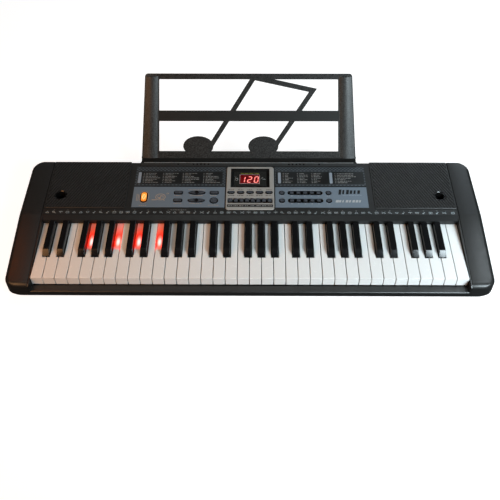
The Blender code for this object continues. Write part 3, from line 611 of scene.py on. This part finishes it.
def build_grille(side, word):
    low, high = node_box(f"{word}_speaker_grille")
    x0, x1, y0, y1, top = low.x, high.x, low.y, high.y, high.z
    x, y, radius = side * PORT[0], depth(PORT[1]), PORT[2]
    rib_foot = top - RIB_HEIGHT
    border, collar = 1.8, radius + 2.4
    outline = rounded(x0, x1, y0, y1, 1.6)
    inner = rounded(x0 + border, x1 - border, y0 + border, y1 - border, 0.8)
    bm = bmesh.new()
    add_rings(bm, at(outline, low.z), at(outline, top - 0.25), at(shrink(outline, 0.25), top),
              at(inner, top), at(shrink(inner, 0.3), rib_foot - 0.05))
    plate = finish_mesh(f"{word}_grille_plate", bm, GRILLE, "root")
    drill(plate, [ellipse(x, y, radius, radius, 48)], PANEL - 1, top + 1)
    # Painted shade in the grooves between the ribs.
    repaint(plate, GROOVE_SHADE, lambda centre: centre.z < rib_foot)
    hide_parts(f"{word}_speaker_grille")

    bm = bmesh.new()
    turn = math.radians(RIB_ANGLE)
    slant = Vector((-side * math.cos(turn), math.sin(turn)))
    across = Vector((slant.y, -slant.x))
    field = ((x0 + border + 0.6, x1 - border - 0.6), (y0 + border + 0.6, y1 - border - 0.6))
    middle = Vector(((x0 + x1) / 2, (y0 + y1) / 2))
    count = int((x1 - x0 + y1 - y0) / (2 * RIB_PITCH)) + 1
    for i in range(-count, count + 1):
        origin = middle + across * (i * RIB_PITCH)
        for start, stop in clipped(origin, slant, field, (x, y, collar)):
            a, b = origin + slant * start, origin + slant * stop
            heights = (rib_foot, top - 0.2, top)
            add_rings(bm, *(at(stroke(a, b, wide), z) for wide, z in zip(RIB_WIDTHS, heights)))
    finish_mesh(f"{word}_grille_ribs", bm, GRILLE, "root", angle=60)

    bm = bmesh.new()
    curve = 1.9
    sines = [math.sin(math.radians(t)) for t in range(0, 91, 15)]
    flare = [(radius + 0.1 + curve * s, top + 0.02 - curve * (1 - s)) for s in sines]
    turn_ring(bm, (x, y), [(collar, rib_foot), (collar, top - 0.15)] + flare[::-1]
              + [(radius - 0.1, PANEL - 9.0), (radius - 0.6, PANEL - 9.0), (radius - 0.6, rib_foot)])
    # The collar's inner wall down the hole is near-black: painted shade.
    finish_mesh(f"{word}_port_collar", bm, PORT_BLACK_AND_SHADE, "root", angle=60)


# ---------------------------------------------------------------- control panel

def control_outlines(grow):
    """Outlines of the controls on each label, grown by the clearance round them."""
    def block(x, y, size, radius):
        return centred(x, depth(y), size[0] + 2 * grow, size[1] + 2 * grow, radius + grow)

    x, y, width, length = POWER
    left = [stadium(x, depth(y), width + 2 * grow, length + 2 * grow)]
    left += [block(*place, RECTANGLE_SIZE, 2.0) for place in RECTANGLES]
    a, b = (side / 2 + grow for side in ROCKER_SIZE)
    left += [ellipse(x, depth(y), a, b, 36) for x, y in ROCKERS]
    x, y, radius = SELECT
    left.append(ellipse(x, depth(y), radius + grow, radius + grow, 36))
    right = [ellipse(x, depth(y), ROUND_R + grow, ROUND_R + grow, 30) for x, y in ROUNDS]
    right += [stadium(x, depth(y), BAR_SIZE[0] + 2 * grow, BAR_SIZE[1] + 2 * grow) for x, y in BARS]
    return {"left": left, "right": right}


def words(chance, x0, x1, y, height, longest=7.0):
    """A line of generic print: dashes of uneven length standing for words."""
    line = []
    x = x0
    while x < x1 - 1.2:
        length = min(chance.uniform(1.6, longest), x1 - x)
        line.append(rectangle(x, x + length, y - height / 2, y + height / 2))
        x += length + chance.uniform(0.7, 1.3)
    return line


def build_label(word):
    x0, x1 = LABEL_X[word]
    y0, y1 = (depth(y) for y in LABEL_Y)
    split, upper = (depth(y) for y in DIVIDER)
    bm = bmesh.new()
    outline = rectangle(x0, x1, y0, split)
    add_rings(bm, at(outline, FILM_FOOT), at(outline, LABEL_TOP))
    lower = finish_mesh(f"{word}_label", bm, LABEL, "root")
    drill(lower, control_outlines(BUTTON_GAP + 0.1)[word], PANEL - 1, PANEL + 1)
    prints(f"{word}_label_pattern", [rectangle(x0, x1, upper, y1)], CHECK, FILM_FOOT, 0.18)
    prints(f"{word}_label_line", [rectangle(x0, x1, split, upper)], PRINT_DARK, FILM_FOOT, 0.22)
    tx0, tx1, ty0, ty1 = TABLE_BOXES[word]
    table = rounded(tx0, tx1, depth(ty0), depth(ty1), 1.5)
    prints(f"{word}_table", [table], TABLE_DARK, LABEL_TOP, TABLE_THICK)


def build_tables():
    """Lists of sounds and rhythms: dashes in columns, each list behind a light upright bar."""
    chance = random.Random(61)
    z = LABEL_TOP + TABLE_THICK
    rows, first, pitch = 7, 228.6, 3.95
    bars, text = [], []
    lists = ((-206.0, (-199.5, -163.0, -126.0, -87.5), 32.0), (54.5, (60.5, 87.5, 114.0), 21.0),
             (150.2, (157.5,), 42.0))
    for x, columns, width in lists:
        bars.append(rounded(x - 2.7, x + 2.7, depth(226.6), depth(255.2), 1.6, 3))
        for start in columns:
            for row in range(rows):
                y = depth(first + row * pitch)
                text += words(chance, start, start + 2.8, y, 1.1, 2.8)
                text += words(chance, start + 4.4, start + width * chance.uniform(0.45, 1.0), y, 1.1)
    prints("table_bars", bars, PRINT_BLUE, z)
    prints("table_text", text, PRINT_LIGHT, z, 0.04)


def build_captions():
    """Small print beside the buttons."""
    chance = random.Random(7)
    z = LABEL_TOP
    light, copper = [], []
    below, above = 7.4, 7.2
    for x, y in RECTANGLES + ROCKERS:
        half = 12 if (x, y) in ROCKERS else 7
        copper += words(chance, x - half, x + half, depth(y - below), 0.8, 4)
    for x, y in BARS:
        for i in range(5):
            mark = x + (i - 2) * BAR_PITCH
            light += words(chance, mark - 1.8, mark + 1.8, depth(y - below - 0.4), 1.1, 3)
    light += words(chance, 71, 128, depth(ROW_BACK + above), 0.9, 6)
    for x, y in ROUNDS:
        light += words(chance, x - 4, x + 4, depth(y - below - 0.3), 0.8, 3)
    copper += words(chance, -76, -55, depth(170.6), 0.8, 4)
    copper += words(chance, -113, -82, depth(ROW_BACK + above), 0.8, 3)
    copper += words(chance, -200, -186, depth(169.6), 0.8, 4)
    copper += [stroke((-206 + 2.6 * i, depth(181)), (-206 + 2.6 * i, depth(198)), 0.8) for i in range(2)]
    prints("button_captions", light, PRINT_PALE, z, 0.04)
    prints("panel_captions", copper, PRINT_COPPER, z, 0.04)
    x, y, width, length = POWER
    rim = arc_band(x, depth(y), width / 2 + 3.1, length / 2 + 3.1, 0.6)
    prints("power_rim", rim, PRINT_COPPER, z, 0.04)


def build_ornaments():
    """Generic marks where such a panel has its lettering: a ringed note, a row of keys and slanted bars."""
    z = LABEL_TOP
    x, y = -163.0, depth(191.0)
    badge = arc_band(x, y, 8.8, 7.6, 1.1) + arc_band(x, y, 5.6, 4.8, 0.6, 120, 420)
    badge += [ellipse(x - 1.8, y - 2.8, 2.5, 1.8), stroke((x + 0.4, y - 2.8), (x + 0.4, y + 4.6), 1.1),
              stroke((x + 0.2, y + 4.4), (x + 3.6, y + 1.2), 1.2)]
    badge += [stroke((x - 15.5, y - 7.4), (x - 6.5, y - 7.4), 1.6),
              stroke((x + 4.8, y - 5.6), (x + 8.2, y - 9.0), 1.3)]
    badge += arc_band(x + 12.6, y + 8.6, 1.6, 1.4, 0.5)
    prints("badge_ornament", badge, PRINT_COPPER, z, 0.05)

    keys = []
    sizes = ((4.6, 13.0), (3.4, 11.0), (4.8, 11.0), (4.2, 9.0), (3.6, 9.0), (4.6, 9.0))
    for i, (width, height) in enumerate(sizes):
        left, foot = 161.0 + i * 6.9, depth(204.4 - height / 2)
        keys.append(slanted(left, left + width, foot, foot + height, 0.16 * height))
    prints("slanted_keys_ornament", keys, PRINT_DARK, z, 0.05)
    under = words(random.Random(9), 169, 203, depth(196.4), 1.0, 6)
    prints("under_line_text", under, PRINT_BLUE, z, 0.04)
    bars = []
    for i, width in enumerate((5.5, 3.6, 2.2, 4.4, 3.2, 4.4, 4.4, 3.0)):
        x = 154.5 + i * 6.0
        bars.append(slanted(x, x + width, depth(178.3), depth(184.0), 1.6))
    prints("slanted_bars_ornament", bars, PRINT_PALE, z, 0.05)


def drum(x, y):
    sides = [stroke((x + s * 2.7, y - 1.7), (x + s * 2.7, y + 1.0), 0.6) for s in (-1, 1)]
    return arc_band(x, y + 1.0, 2.7, 1.1, 0.6) + arc_band(x, y - 1.5, 2.7, 1.1, 0.6, 180, 360) + sides


def cymbal(x, y):
    stem, cup = stroke((x, y - 2.6), (x, y + 1.0), 0.6), ellipse(x, y + 1.5, 0.9, 0.6)
    return arc_band(x, y + 1.0, 3.3, 0.8, 0.6) + [stem, cup]


def maraca(x, y):
    return arc_band(x - 1.4, y + 0.7, 1.6, 1.5, 0.7) + [stroke((x - 0.3, y - 0.3), (x + 3.0, y - 2.3), 0.8)]


def triangle(x, y):
    corners = ((x - 2.8, y - 2.0), (x + 2.8, y - 2.0), (x, y + 2.2))
    return [stroke(corners[i], corners[(i + 1) % 3], 0.65) for i in range(3)]


def bongos(x, y):
    left, right = x - 1.7, x + 1.7
    tops = arc_band(left, y + 0.9, 1.5, 0.8, 0.55) + arc_band(right, y + 0.9, 1.5, 0.8, 0.55)
    shells = arc_band(left, y - 0.5, 1.4, 1.6, 0.55, 180, 360)
    return tops + shells + arc_band(right, y - 0.5, 1.4, 1.6, 0.55, 180, 360)


def sticks(x, y):
    pair = [stroke((x - 3.0, y - 1.8 * s), (x + 3.0, y + 1.8 * s), 0.7) for s in (-1, 1)]
    return pair + [ellipse(x + 3.0, y + 1.8 * s, 0.8, 0.7, 12) for s in (-1, 1)]


def quaver(x, y):
    return [ellipse(x - 1.1, y - 1.5, 1.6, 1.1, 16), stroke((x + 0.3, y - 1.5), (x + 0.3, y + 2.4), 0.6),
            stroke((x + 0.2, y + 2.3), (x + 2.2, y + 0.8), 0.8)]


def tambourine(x, y):
    dots = [ellipse(x + 2.9 * math.cos(t), y + 1.9 * math.sin(t), 0.6, 0.55, 10) for t in (0.6, 2.5, 4.7)]
    return arc_band(x, y, 2.3, 1.5, 0.6) + dots


def build_icons():
    """A small generic percussion mark for each key, along the front edge of the panel."""
    kinds = (drum, cymbal, maraca, triangle, bongos, sticks, quaver, tambourine)
    chance = random.Random(3)
    marks, ticks = [], []
    first, last, pitch, row, count = -362.1, 361.7, 12.0, 153.0, 61
    black = (1, 3, 6, 8, 10)  # of the twelve keys of an octave
    for i in range(count):
        x = first + pitch * i if i < count - 1 else last
        marks += chance.choice(kinds)(x, depth(row))
        if i % 12 in black:
            ticks += words(chance, x - 1.0, x + 1.0, depth(row + 5.2), 0.7, 2)
    ticks += words(chance, -143, -114, depth(row + 6.0), 0.8, 5)
    prints("percussion_icons", marks, PRINT_ICON, FILM_FOOT)
    prints("key_marks", ticks, PRINT_LIGHT, FILM_FOOT)


def build_controls():
    shade_depth = 0.12  # a cap's bevel and sides are painted dark from this far below its top: painted shade in the gap round it
    panels = (("left_panel_buttons", "left_button_caps"), ("right_panel_buttons", "right_button_caps"),
              ("centre_buttons", "centre_button_caps"))
    for name, caps in panels:
        shade_line = node_box(name)[1].z - shade_depth
        piece = soft_copy(caps, name, 0.6, SLATE)
        # Painted shade: each cap's bevel and sides below its flat top are near-black.
        repaint(piece, BUTTON_GAP_SHADE, lambda centre: centre.z < shade_line)
    top = node_box("power_button")[1].z
    piece = soft_copy("power_button_cap", "power_button", 0.8, amber_plastic())
    # Painted shade on the power cap's sides.
    repaint(piece, BUTTON_GAP_SHADE, lambda centre: centre.z < top - shade_depth)
    x, y = POWER[:2]
    mark = arc_band(x, depth(y), 2.2, 6.0, 0.9)
    prints("power_mark", mark, AMBER_MARK, top, 0.06, "power_button")
    top = node_box("left_panel_buttons")[1].z
    # Painted shade: a near-black band in the split between each rocker's two halves.
    split_shades = [stroke((x - 2.2, depth(y + 2.6)), (x + 2.2, depth(y - 2.6)), 6.4) for x, y in ROCKERS]
    prints("rocker_split_shade", split_shades, BUTTON_GAP_SHADE, top, 0.05, "left_panel_buttons")


# ---------------------------------------------------------------- bezel and display

def build_bezel():
    soft_copy("bezel_plate", "display_bezel", 0.3, SILVER, "root")
    top = node_box("display_bezel")[1].z
    strip = rounded(-41.6, 41.6, depth(165.2), depth(171.4), 0.8)
    prints("pad_caption_strip", [strip], TABLE_DARK, top, 0.05)
    chance = random.Random(12)
    light, dark = [], []
    for i in range(8):
        x = (i - 3.5) * PAD_PITCH
        light += words(chance, x - 3.9, x + 3.9, depth(168.2), 1.5, 6)
    prints("pad_captions", light, PRINT_LIGHT, top + 0.05, 0.04)
    for i in range(5):
        x = (i - 2) * OVAL_PITCH
        dark += words(chance, x - 5, x + 5, depth(209.4), 1.1, 4)
        dark += words(chance, x - 6, x + 6, depth(193.6), 1.1, 5)
    prints("oval_captions", dark, PRINT_DARK, top, 0.04)
    places = [((i - 2) * OVAL_PITCH, depth(OVAL_ROW)) for i in range(5)]
    outer = [stadium(*place, 14.2, 8.0) for place in places]
    # Painted shade: near-black rings on the bezel round the oval buttons, widening the gap round them.
    shade_rings = prints("oval_shade_rings", outer, BUTTON_GAP_SHADE, top + 0.01, 0.04)
    drill(shade_rings, [stadium(*place, 11.6, 6.2) for place in places], top - 1, top + 1)


SEGMENTS = {"0": "abcdef", "1": "bc", "2": "abged"}  # lit in each numeral


def digit_segments(x, y, width, height, slant, thick):
    """Outlines of the seven segments of a digit, keyed a to g."""
    w, h = width / 2, height / 2

    def lean(px, py):
        return (x + px + slant * py, y + py)

    def bar(p, q):
        a, b = Vector(p), Vector(q)
        along = (b - a).normalized()
        side = Vector((-along.y, along.x)) * (thick / 2)
        tip = along * (thick / 2)
        points = (a, a + tip - side, b - tip - side, b, b - tip + side, a + tip + side)
        return [lean(*point) for point in points]

    ends = {
        "a": ((-w, h), (w, h)), "b": ((w, h), (w, 0)), "c": ((w, 0), (w, -h)), "d": ((w, -h), (-w, -h)),
        "e": ((-w, -h), (-w, 0)), "f": ((-w, 0), (-w, h)), "g": ((-w, 0), (w, 0)),
    }
    gap = 0.25
    outlines = {}
    for key, (p, q) in ends.items():
        a, b = Vector(p), Vector(q)
        along = (b - a).normalized() * gap
        outlines[key] = bar(a + along, b - along)
    return outlines


def build_display():
    low, high = node_box("digit_display")
    soft_copy("display_lens", "digit_display", 0.3, LENS, "root")
    top = high.z
    rim = node_box("display_bezel")[1].z + 0.12
    outer = rectangle(low.x - 2.2, high.x + 2.2, low.y - 2.2, high.y + 2.2)
    bm = bmesh.new()
    loops = (at(shrink(outer, 2.2), top + 0.05), at(outer, rim - 0.1), at(shrink(outer, 0.4), rim),
             at(shrink(outer, 5.6), top + 0.08))
    rings = [[bm.verts.new(Vector(p) * MM) for p in loop] for loop in loops]
    for lower, upper in zip(rings, rings[1:] + rings[:1]):
        for i in range(4):
            j = (i + 1) % 4
            bm.faces.new((lower[i], lower[j], upper[j], upper[i]))
    finish_mesh("display_frame", bm, DARK_PLASTIC_AND_SLOT_SHADE, "root")

    half, near, far = 18.0, depth(227.4), depth(250.0)
    left = -0.9
    field = (left - half, left + half, near, far)
    border = 0.8
    edge = rectangle(field[0] - border, field[1] + border, near - border, far + border)
    prints("digit_rim", [edge], DIGIT_RIM, top + 0.01, 0.04)
    prints("digit_field", [rectangle(*field)], DIGIT_FIELD, top + 0.05, 0.04)
    lit, unlit = [], []
    pitch, width, height, slant, thick = 12.4, 6.5, 14.4, 0.14, 1.65
    for i, numeral in enumerate("120"):
        shapes = digit_segments((i - 1) * pitch + left, near + 10.2, width, height, slant, thick)
        for key, outline in shapes.items():
            (lit if key in SEGMENTS[numeral] else unlit).append(outline)
    prints("digits_lit", lit, DIGIT, top + 0.09, 0.05)
    prints("digits_unlit", unlit, DIGIT_OFF, top + 0.09, 0.04)
    chance = random.Random(5)
    prints("display_caption", words(chance, -18, 16, far + 3.6, 2.2, 9), PRINT_LIME, top + 0.01, 0.04)
    middle = near + 12.0
    marks = arc_band(-25.5, middle + 3.6, 1.9, 1.9, 0.7, 90, 330)
    marks += arc_band(-25.5, middle - 1.6, 2.4, 2.6, 0.7)
    marks += arc_band(23.4, middle + 2.0, 1.9, 2.4, 0.7, 60, 280)
    marks.append(stroke((23.6, middle - 0.8), (28.6, middle - 0.8), 1.0))
    prints("display_marks", marks, PRINT_LIGHT, top + 0.01, 0.04)


# ---------------------------------------------------------------- keys and stand

def build_keys():
    for number in range(1, WHITE_COUNT + 1):
        material = KEY_LIT.get(number, KEY_WHITE)
        name = f"white_key_{number:02d}"
        soft_copy(f"{name}_cap", name, 0.7, material)
    for number in range(1, OCTAVES + 1):
        name = f"black_keys_{number}"
        soft_copy(f"{name}_comb", name, 0.5, KEY_BLACK)


def build_stand():
    """The stand's moulding: grained columns lightened by a painted highlight, the desk, a smoother rail
    across, and a ledge darkened with painted shade, with painted light on its lip.
    """
    stand = soft_copy("music_stand_moulding", "music_stand", 0.45, STAND, segments=2)
    low, high = node_box("music_stand")
    middle = (low.x + high.x) / 2
    inner_foot, inner_top = 170.2, 161.8  # from the middle to a column, at the foot and at the top

    def in_column(centre):
        rise = (centre.z - STAND_FOOT_Z) / (high.z - STAND_FOOT_Z)
        return abs(centre.x - middle) > inner_foot + (inner_top - inner_foot) * rise

    lip, lip_thick = depth(LEDGE_FRONT), 2.5
    # Painted highlight: the columns take the lighter copy of the stand plastic.
    repaint(stand, STAND_COLUMN_HIGHLIGHT, lambda centre: centre.z > STAND_FOOT_Z + 2 and in_column(centre))
    # Painted shade in the ledge's trough.
    repaint(stand, STAND_SHELF_SHADE, lambda centre: centre.z < STAND_FOOT_Z + 1)
    # Painted light on the lip's front face.
    repaint(stand, STAND_LIP_PAINTED_LIGHT, lambda centre: abs(centre.y - lip) < 0.1 and centre.z > LIP_Z[0])
    # Painted highlight along the top edge of the lip.
    repaint(stand, PAINTED_EDGE_HIGHLIGHT, lambda centre: abs(centre.y - lip) < 0.6 and centre.z > LIP_Z[1] - 0.44)
    # Painted shade inside the slots of the lip.
    repaint(stand, DARK_PLASTIC_AND_SLOT_SHADE, lambda centre: (
        0.1 < centre.y - lip < lip_thick and LIP_SLOT_Z[0] < centre.z < LIP_SLOT_Z[1]))
    # Painted highlight: a pale strip along the crest of the lip.
    crest = rectangle(low.x + 6, high.x - 6, lip + 0.5, lip + 2.0)
    prints("ledge_edge_highlight", [crest], PAINTED_EDGE_HIGHLIGHT, LIP_Z[1], 0.04, "music_stand")


# ---------------------------------------------------------------- stage

# Name, place, target (metres), size (metres), power (watts), colour, spread (degrees)
LAMPS = (
    ("window_light", (1.05, -1.3, 1.0), (0.44, -0.1, 0), (0.8, 0.8), 6.2, (0.79, 0.93, 1.0), 50),
    ("top_light", (0.0, 0.2, 1.6), (0.0, 0, 0), (0.9, 0.6), 3.1, (0.93, 0.99, 0.97), 180),
    ("sheen_light", (0.85, 1.35, 0.95), (0.35, 0, 0), (0.5, 0.5), 1.2, (0.8, 0.92, 1.0), 110),
    ("warm_light", (-0.85, -0.75, 0.75), (-0.42, -0.1, 0), (0.7, 0.7), 2.1, (1.0, 0.48, 0.2), 80),
    ("back_light", (-0.3, 1.5, 0.4), (0.0, 0.15, 0.08), (1.2, 0.4), 0.8, (1.0, 0.98, 0.95), 120),
    ("right_corner_light", (0.56, 0.05, 0.49), (0.42, -0.14, 0.05), (0.15, 0.15), 0.03,
     (0.83, 0.94, 1.0), 30),
    ("left_corner_light", (-0.56, 0.05, 0.49), (-0.42, -0.14, 0.05), (0.15, 0.15), 0.007,
     (1.0, 0.2, 0.02), 30),
)


def area_light(name, place, target, size, power, colour, spread):
    data = bpy.data.lights.new(name, "AREA")
    data.shape = "RECTANGLE"
    data.size, data.size_y = size
    data.energy = power
    data.color = colour
    data.spread = math.radians(spread)
    light = bpy.data.objects.new(name, data)
    light.location = place
    light.rotation_euler = (Vector(target) - Vector(place)).to_track_quat("-Z", "Y").to_euler()
    bpy.context.scene.collection.objects.link(light)


def build_stage():
    scene = bpy.context.scene
    scene.view_settings.view_transform = "Standard"
    bpy.ops.mesh.primitive_plane_add(size=12.0)
    floor = bpy.context.object
    floor.name = "floor"
    material = moulded("floor_white", (0.45, 0.45, 0.45), 0.8, grain=3.0, bump=0.02, mottle=0.01,
                       specular=0.0)
    shader = material.node_tree.nodes["Principled BSDF"]
    shader.inputs["Emission Color"].default_value = (1, 1, 1, 1)
    shader.inputs["Emission Strength"].default_value = 0.85
    floor.data.materials.append(material)
    floor.visible_diffuse = False
    floor.visible_glossy = False

    world = bpy.data.worlds.new("studio")
    scene.world = world
    world.use_nodes = True
    background = world.node_tree.nodes["Background"]
    background.inputs["Color"].default_value = (0.9, 0.96, 1.0, 1)
    background.inputs["Strength"].default_value = 0.035

    for lamp in LAMPS:
        area_light(*lamp)

    camera_data = bpy.data.cameras.new("camera")
    camera_data.sensor_width = 36.0
    camera_data.lens = 51.55
    camera = bpy.data.objects.new("camera", camera_data)
    scene.collection.objects.link(camera)
    keys_front = node_box("white_key_01")[0].y
    key_top = node_box("white_key_01")[1].z
    across, back, above = 9.0, 734.5, 949.7  # from the middle of the keys' front edge
    camera.location = Vector((across, keys_front - back, key_top + above)) * MM
    tilt, aside, roll = math.radians(90 - 50), 0.0067, 0.003
    turn = Matrix.Rotation(tilt, 3, "X") @ Matrix.Rotation(aside, 3, "Y") @ Matrix.Rotation(roll, 3, "Z")
    camera.rotation_euler = turn.to_euler()
    scene.camera = camera


build_case()
build_underside()
for side, word in ((-1, "left"), (1, "right")):
    build_grille(side, word)
    build_label(word)
build_tables()
build_captions()
build_ornaments()
build_icons()
build_controls()
build_bezel()
build_display()
build_keys()
build_stand()
build_stage()
